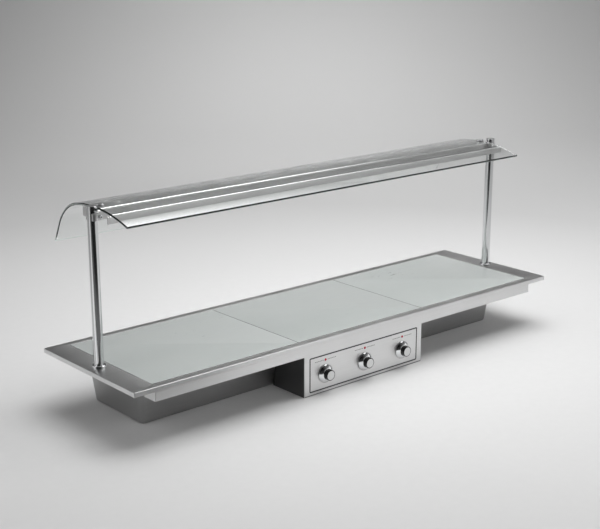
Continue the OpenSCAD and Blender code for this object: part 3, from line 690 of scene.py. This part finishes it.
def posts():
    """Tubes with a collar at each foot, and their round-edged caps."""
    wall, chamfer = 1.5 * MM, 0.3 * MM
    caps = Shape()
    caps_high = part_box("post_caps")[1]
    for side in ("left", "right"):
        low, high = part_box(f"post_{side}")
        x, y = (low.x + high.x) / 2, (low.y + high.y) / 2
        radius, tall = (high.x - low.x) / 2, high.z - low.z
        profile = [(radius - wall, chamfer), (radius - wall + chamfer, 0.0), (radius - chamfer, 0.0)]
        profile += [(radius, chamfer)] + [(radius, tall * k / 12) for k in range(1, 13)]
        profile += [(radius - wall, tall)]
        tube = Shape().lathe(profile, upright(x, y, low.z), 96)
        tube.make(f"tube_{side}", UNIT, "polished_steel", [f"post_{side}"])

        foot_low, foot_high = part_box(f"collar_{side}")
        outer, tall, round_r = (foot_high.x - foot_low.x) / 2, foot_high.z - foot_low.z, 2.4 * MM
        profile = [(radius, 0.0), (outer - chamfer, 0.0), (outer, chamfer), (outer, tall * 0.5)]
        profile += arc((outer - round_r, tall - round_r - 0.2 * MM), round_r, 0, 70, 6)
        profile += [(radius + 0.8 * MM, tall), (radius, tall - 0.4 * MM)]
        collar = Shape().lathe(profile, upright(x, y, foot_low.z), 72)
        collar.make(f"foot_{side}", UNIT, "chrome", [f"collar_{side}"], 40)

        tall, plug, edge = caps_high.z - high.z, -8 * MM, 1 * MM
        profile = [(0.0, plug), (radius - wall, plug), (radius - wall, 0.0), (radius, 0.0)]
        profile += [(radius, tall - edge)] + arc((radius - edge, tall - edge), edge, 20, 90, 5)
        profile += [(0.0, tall)]
        caps.lathe(profile, upright(x, y, high.z), 72)
    caps.make("caps", UNIT, "polished_steel", ["post_caps"], 40)


def housing():
    """Folded lamp housing with round corners, its end plates, and the round-edged front rail."""
    low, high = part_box("lamp_housing")
    r, t = 3.2 * MM, 1.5 * MM
    front, back = (low.y + r, high.z - r), (high.y - r, high.z - r)
    outer = [(low.y, low.z)] + arc(front, r, 180, 90, 6) + arc(back, r, 90, 0, 6)
    outer += [(high.y, low.z)]
    inner = [(high.y - t, low.z)] + arc(back, r - t, 0, 90, 6) + arc(front, r - t, 90, 180, 6)
    inner += [(low.y + t, low.z)]
    bars = [("housing_shell", "lamp_housing", outer + inner)]
    bars += [(f"housing_cheek_{side}", f"housing_end_{side}", outer) for side in ("left", "right")]
    low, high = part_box("front_rail")
    r, edge = 2.3 * MM, 0.5 * MM
    section = [(low.y, low.z + edge)] + arc((low.y + r, high.z - r), r, 180, 90, 5)
    section += arc((high.y - r, high.z - r), r, 90, 0, 5) + [(high.y, low.z + edge)]
    section += [(high.y - edge, low.z), (low.y + edge, low.z)]
    bars += [("rail_bar", "front_rail", section)]
    for name, node, section in bars:
        low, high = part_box(node)
        rings = [[(x, y, z) for y, z in section] for x in (low.x, high.x)]
        shape = Shape().loft(rings)
        for k in range(1, 6):  # the round front corner, in paler steel: a painted highlight
            shape.slots[k] = 1
        shape.make(name, UNIT, ["hood_steel", "highlight_edge_steel"], [node], 24)
    low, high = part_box("rail_gasket")
    behind = 2.2 * MM  # so that the strip starts behind the rail's round corner
    shape = Shape().block((low.x, low.y + behind, low.z), high, 0.3 * MM)
    shape.make("rail_strip", UNIT, "seal_rubber", ["rail_gasket"])


def guard():
    """One bent sheet: shallow top, tight curve, straight tail, with softened edges."""
    low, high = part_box("sneeze_glass")
    thick, soft = 6 * MM, 1.9 * MM
    front_a, mid_a, tail_a = (math.radians(v) for v in (19.8, 9.6, 63.5))
    r_top, r_back, tail = 444 * MM, 119 * MM, 57 * MM
    y_front, z_front = -123 * MM, 368 * MM + deck_high.z
    top_y, top_z = y_front + r_top * math.sin(front_a), z_front - r_top * math.cos(front_a)
    back_y = top_y + (r_top - r_back) * math.sin(mid_a)
    back_z = top_z + (r_top - r_back) * math.cos(mid_a)
    line = []  # (y, z, slope) along mid-thickness, from the front end to the tail's end
    for k in range(29):
        a = -front_a + (front_a + mid_a) * k / 28
        line.append((top_y + r_top * math.sin(a), top_z + r_top * math.cos(a), a))
    for k in range(1, 41):
        a = mid_a + (tail_a - mid_a) * k / 40
        line.append((back_y + r_back * math.sin(a), back_z + r_back * math.cos(a), a))
    y, z, _ = line[-1]
    line.append((y + tail * math.cos(tail_a), z - tail * math.sin(tail_a), tail_a))

    def at(point, along, up):
        """The place that far along the sheet from a point of the line, and that far up from it."""
        y, z, a = point
        cos, sin = math.cos(a), math.sin(a)
        return (y + along * cos + up * sin, z - along * sin + up * cos)

    def outline(trim):
        """The sheet's section, smaller by trim all round: top, tail end, underside, front end."""
        half = thick / 2 - trim
        cut = min(soft, 0.9 * half)
        corners = [(-cut, half), (0, half - cut), (0, cut - half), (-cut, -half)]
        ring = [at(p, 0, half) for p in line[1:-1]]
        ring += [at(line[-1], along - trim, up) for along, up in corners]
        ring += [at(p, 0, -half) for p in line[-2:0:-1]]
        ring += [at(line[0], trim - along, up) for along, up in reversed(corners)]
        return ring

    ends = ((low.x, soft), (low.x + soft, 0), (high.x - soft, 0), (high.x, soft))
    rings = [[(x, y, z) for y, z in outline(trim)] for x, trim in ends]
    shape = Shape().loft(rings)
    around = len(rings[0])
    shape.slots[2 * around - 3] = 1  # front end of the middle stretch
    for k in (-1, 0, 1):  # the tail's end and its two arrises
        shape.slots[around + len(line) - 1 + k] = 1
    shape.slots[-2] = 1  # left end
    shape.make("guard_glass", UNIT, ["clear_glass", "glass_edge"], ["sneeze_glass"], angle=40)


def buttons():
    """Clamp buttons: domed heads over the glass, studs and nuts below."""
    low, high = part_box("glass_buttons")
    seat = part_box("glass_washers")[1].z
    radius, stud, chamfer, crown = 10 * MM, 3 * MM, 0.4 * MM, 1.2 * MM
    head, drop = 0.42 * (high.z - seat), seat - low.z
    nut_wide, nut_tall = 5.5 * MM, 3 * MM
    y = (low.y + high.y) / 2
    nut_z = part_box("lamp_housing")[1].z - 1.5 * MM  # under the housing's sheet
    nut = [(stud, -nut_tall), (nut_wide - 0.3 * MM, -nut_tall), (nut_wide, 0.4 * MM - nut_tall)]
    nut += [(nut_wide, 0.0), (stud, 0.0)]
    profile = [(0.0, -drop), (stud, -drop), (stud, 0.5 * MM - drop), (stud, 0.0)]
    profile += [(radius - chamfer, 0.0), (radius, chamfer), (radius, head - crown)]
    profile += arc((radius - crown, head - crown), crown, 15, 90, 6) + [(0.0, head)]
    shape = Shape()
    for x in (low.x + radius, high.x - radius):
        shape.lathe(profile, upright(x, y, seat), 64)
        shape.lathe(nut, upright(x, y, nut_z), 6)
    shape.make("clamp_buttons", UNIT, "chrome", ["glass_buttons"], 35)


def lamp_places():
    """X of each lamp's middle: one over each tile."""
    pitch = middle("tile_right").x - middle("tile_mid").x
    return [-pitch, 0.0, pitch]


def screws():
    """Screw heads on the housing, and the clamps' socket screws."""
    low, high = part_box("reflector_screws")
    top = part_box("lamp_housing")[1].z
    shank, head = 1.6 * MM, 4 * MM
    profile = [(0.0, -8 * MM), (shank, -8 * MM), (shank, 0.0), (head, 0.0), (head, 0.3 * MM)]
    profile += [(3.4 * MM, 0.9 * MM), (2.4 * MM, 1.3 * MM), (1.6 * MM, 1.4 * MM)]
    profile += [(1.3 * MM, 0.6 * MM), (0.0, 0.6 * MM)]
    reach = high.x - lamp_places()[-1] - head
    shape = Shape()
    for x in lamp_places():
        for side in (-1, 1):
            shape.lathe(profile, upright(x + side * reach, (low.y + high.y) / 2, top), 24)
    shape.make("housing_screws", UNIT, "screw_steel", ["reflector_screws"], 40)

    low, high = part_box("clamp_screws")
    radius, shank, edge, socket = (high.z - low.z) / 2, 1.5 * MM, 1.5 * MM, 2.1 * MM
    clamp_front = -16 * MM
    profile = [(0.0, -7 * MM), (shank, -7 * MM), (shank, 0.0), (radius, 0.0), (radius, 3.2 * MM)]
    profile += arc((radius - edge, 3.2 * MM), edge, 15, 90, 5)
    profile += [(socket + 0.2 * MM, 4.7 * MM), (socket, 4.4 * MM)]
    profile += [(socket, 2.4 * MM), (0.0, 2.4 * MM)]
    shape = Shape()
    for x in (low.x + radius, high.x - radius):
        shape.lathe(profile, facing_front((x, clamp_front, (low.z + high.z) / 2)), 48)
    shape.make("socket_screws", UNIT, "chrome", ["clamp_screws"], 40)


def filaments():
    """Coiled wire inside each quartz tube."""
    low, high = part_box("lamp_tubes")
    y, z = (low.y + high.y) / 2, (low.z + high.z) / 2
    turns, per_turn, half, coil = 40, 8, 95 * MM, 1.4 * MM
    for number, middle_x in enumerate(lamp_places(), 1):
        curve = bpy.data.curves.new(f"filament_{number}", "CURVE")
        curve.dimensions = "3D"
        curve.bevel_depth = 0.25 * MM
        curve.bevel_resolution = 1
        line = curve.splines.new("POLY")
        line.points.add(turns * per_turn)
        for k, point in enumerate(line.points):
            a = 2 * math.pi * k / per_turn
            x = middle_x - half + 2 * half * k / (turns * per_turn)
            point.co = (x, y + coil * math.cos(a), z + coil * math.sin(a), 1.0)
        wire = bpy.data.objects.new(f"filament_{number}", curve)
        curve.materials.append(FINISH["filament"])
        bpy.context.scene.collection.objects.link(wire)
        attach(wire, UNIT)


deck()
tiles()
tub()
for number in (1, 2, 3):
    knob(number)
lenses()
marks()
fascia_line()
hem()
posts()
housing()
guard()
buttons()
screws()
filaments()


# ---- floor, light and camera ----

EYE = (-2.2173, -2.4894, 1.2041)
VIEW = Vector((0.6304, 0.7286, -0.2679)).normalized()  # the camera's line of sight
AHEAD = Vector((VIEW.x, VIEW.y, 0.0)).normalized()
ASIDE = Vector((AHEAD.y, -AHEAD.x, 0.0))
SOFTBOX_Z = 3.3


def sheet_of(name, points, faces, material):
    """A stage piece of thin sheet."""
    mesh = bpy.data.meshes.new(name)
    mesh.from_pydata(points, [], faces)
    mesh.materials.append(material)
    mesh.shade_smooth()
    piece = bpy.data.objects.new(name, mesh)
    bpy.context.scene.collection.objects.link(piece)
    return piece


def stage():
    """A pale floor that sweeps up into a backdrop far behind the unit, its paper painted darker away
    from the middle: a painted pool of light.
    """
    s = Shader("paper", Specular_IOR_Level=0.2)
    fine = s.noise((40.0,) * 3, detail=3.0)
    painted_pool_reach = s.add("ShaderNodeVectorMath")
    painted_pool_reach.operation = "LENGTH"
    s.link(s.place, painted_pool_reach.inputs[0])
    distance = painted_pool_reach.outputs["Value"]
    near = s.mix(s.spread(fine, 0.0, 1.0), grey(0.76), grey(0.78))
    # painted shade: the paper darkens from 0.35 m out to 8 m, for light that falls off away from the
    # unit
    far = s.mix(s.spread(distance, 0.0, 1.0, 2.0, 8.0), grey(0.52), grey(0.42))
    s.colour(s.mix(s.spread(distance, 0.0, 1.0, 0.35, 2.0), near, far))
    s.rough(s.spread(fine, 0.7, 0.8))
    near_end, start, radius, top, half = -8.0, 3.5, 3.0, 9.0, 12.0
    profile = [(near_end, 0.0), (start, 0.0)]
    profile += arc((start, radius), radius, -84, 0, 14) + [(start + radius, top)]
    points, faces = [], []
    for d, z in profile:
        for across in (-half, half):
            points.append(tuple(AHEAD * d + ASIDE * across + Vector((0, 0, z))))
    for k in range(len(profile) - 1):
        faces.append((2 * k, 2 * k + 1, 2 * k + 3, 2 * k + 2))
    sheet_of("floor", points, faces, s.material)


def flags():
    """A black cloth and a white card on the floor, there only for bright surfaces to mirror: painted
    reflections, the card glowing faintly as painted light.
    """
    s = Shader("black_cloth", Specular_IOR_Level=0.1)
    axes = s.add("ShaderNodeSeparateXYZ")
    s.link(s.place, axes.inputs[0])
    weave = s.noise((300.0,) * 3)
    deep = s.mix(s.spread(weave, 0.0, 1.0), grey(0.01), grey(0.02))
    # painted reflection: the cloth is paler from Y -0.8 m toward the unit, so the dark it lends to
    # mirrors fades there
    mirrored_grey = s.mix(s.spread(weave, 0.0, 1.0), grey(0.15), grey(0.19))
    deep_to, mirrored_grey_from = -1.3, -0.8  # Y in metres
    s.colour(s.mix(s.spread(axes.outputs["Y"], 0.0, 1.0, deep_to, mirrored_grey_from), deep, mirrored_grey))
    s.rough(s.spread(weave, 0.8, 0.95))
    black = s.material
    # painted light: the card glows faintly, seen only in mirrors
    s = Shader("white_card", Specular_IOR_Level=0.1, Emission_Strength=0.2)
    fine = s.noise((60.0,) * 3)
    s.colour(s.mix(s.spread(fine, 0.0, 1.0), grey(0.88), grey(0.92)))
    s.rough(s.spread(fine, 0.6, 0.8))
    s.bsdf.inputs["Emission Color"].default_value = (1.0, 1.0, 1.0, 1.0)
    cloth = ((-0.3, -0.45), (-0.8, -0.4), (-3.6, -0.3), (-3.6, -3.6), (0.2, -3.6), (-0.05, -1.3))
    card = ((-0.95, -0.2), (-1.6, 0.35), (-3.4, 0.8), (-3.4, -0.25))
    for name, corners, material in (("cloth", cloth, black), ("card", card, s.material)):
        points = [(x, y, 2 * MM) for x, y in corners]
        sheet = sheet_of(name, points, [tuple(range(len(points)))], material)
        sheet.visible_camera = sheet.visible_diffuse = sheet.visible_shadow = False
        sheet.visible_transmission = False


def softbox(name, low, high, glow, fade_x, fade_y):
    """A glowing sheet overhead, from corner low to corner high, dimming over each fade's span."""
    s = Shader(name, Specular_IOR_Level=0.0)
    axes = s.add("ShaderNodeSeparateXYZ")
    s.link(s.place, axes.inputs[0])
    strength = s.add("ShaderNodeMath")
    strength.operation = "MULTIPLY"
    s.link(s.spread(axes.outputs["X"], glow, 0.0, *fade_x), strength.inputs[0])
    s.link(s.spread(axes.outputs["Y"], 1.0, 0.0, *fade_y), strength.inputs[1])
    s.link(strength.outputs[0], s.bsdf.inputs["Emission Strength"])
    s.bsdf.inputs["Emission Color"].default_value = (1.0, 1.0, 1.0, 1.0)
    s.colour(s.mix(strength.outputs[0], grey(0.02), grey(0.03)))
    (x0, y0), (x1, y1), z = low, high, SOFTBOX_Z
    corners = [(x0, y0, z), (x1, y0, z), (x1, y1, z), (x0, y1, z)]
    sheet = sheet_of(name, corners, [(0, 1, 2, 3)], s.material)
    sheet.visible_camera = sheet.visible_shadow = False


def lamp(name, place, target, size, power, mirrored=False):
    """A rectangular soft box that shines from place to target, seen in mirrors or not."""
    light = bpy.data.lights.new(name, "AREA")
    light.shape = "RECTANGLE"
    light.size, light.size_y = size
    light.energy = power
    holder = bpy.data.objects.new(name, light)
    bpy.context.scene.collection.objects.link(holder)
    holder.location = place
    holder.rotation_mode = "QUATERNION"
    holder.rotation_quaternion = (Vector(target) - Vector(place)).to_track_quat("-Z", "Y")
    holder.visible_glossy = mirrored
    return holder


def room():
    """World light: dark round the camera and above, pale elsewhere near the horizon."""
    world = bpy.data.worlds.new("studio")
    world.use_nodes = True
    tree = world.node_tree
    place = tree.nodes.new("ShaderNodeTexCoord").outputs["Generated"]

    def ramp(source, start, end, low, high):
        node = tree.nodes.new("ShaderNodeMapRange")
        node.inputs["From Min"].default_value = start
        node.inputs["From Max"].default_value = end
        node.inputs["To Min"].default_value = low
        node.inputs["To Max"].default_value = high
        tree.links.new(source, node.inputs["Value"])
        return node.outputs["Result"]

    toward = tree.nodes.new("ShaderNodeVectorMath")
    toward.operation = "DOT_PRODUCT"
    toward.inputs[1].default_value = -VIEW
    tree.links.new(place, toward.inputs[0])
    axes = tree.nodes.new("ShaderNodeSeparateXYZ")
    tree.links.new(place, axes.inputs[0])
    both = tree.nodes.new("ShaderNodeMath")
    both.operation = "MULTIPLY"
    tree.links.new(ramp(toward.outputs["Value"], 0.3, 0.82, 1.0, 0.03), both.inputs[0])
    tree.links.new(ramp(axes.outputs["Z"], 0.2, 0.45, 1.1, 0.14), both.inputs[1])
    background = tree.nodes["Background"]
    tree.links.new(both.outputs[0], background.inputs["Strength"])
    background.inputs["Color"].default_value = (1.0, 1.0, 1.0, 1.0)
    bpy.context.scene.world = world


def lights():
    """Soft boxes round the unit, and one that lights only the backdrop's foot."""
    lamp("overhead", (0.2, 0.75, SOFTBOX_Z), (0.2, 0.75, 0.0), (1.4, 3.7), 50)
    lamp("right", (3.4, -1.2, 2.0), (0.2, 0.0, 0.2), (1.6, 1.6), 6)
    lamp("left", (-3.0, 0.4, 2.0), (0.0, 0.0, 0.2), (1.2, 1.6), 12, mirrored=True)
    lamp("fill", (-0.6, -3.2, 1.8), (0.0, -0.2, 0.0), (3.0, 1.6), 26)
    place = AHEAD * 2.4 + Vector((0.0, 0.0, 4.2))
    target = AHEAD * 4.8 + Vector((0.0, 0.0, 0.4))
    backdrop = lamp("backdrop", place, target, (1.2, 0.8), 24, mirrored=True)
    backdrop.data.spread = math.radians(75)


def camera():
    """At the photograph's angle. Place, line of sight and lens come from the deck's corners."""
    eye = bpy.data.cameras.new("camera")
    eye.sensor_width = 36.0
    eye.lens = 74.4996
    eye.clip_end = 100.0
    holder = bpy.data.objects.new("camera", eye)
    bpy.context.scene.collection.objects.link(holder)
    holder.location = EYE
    holder.rotation_mode = "QUATERNION"
    holder.rotation_quaternion = VIEW.to_track_quat("-Z", "Y")
    bpy.context.scene.camera = holder


stage()
flags()
softbox("softbox_back", (0.8, 0.2), (3.3, 2.6), 4.8, (1.5, 3.3), (1.6, 2.6))
softbox("softbox_front", (0.8, -1.5), (3.2, 0.2), 4.8, (2.4, 3.2), (0.2, 0.3))
softbox("softbox_dim", (-1.2, -1.1), (0.8, 2.6), 0.9, (0.8, 0.9), (1.6, 2.6))
room()
lights()
camera()
bpy.context.scene.view_settings.view_transform = "Standard"
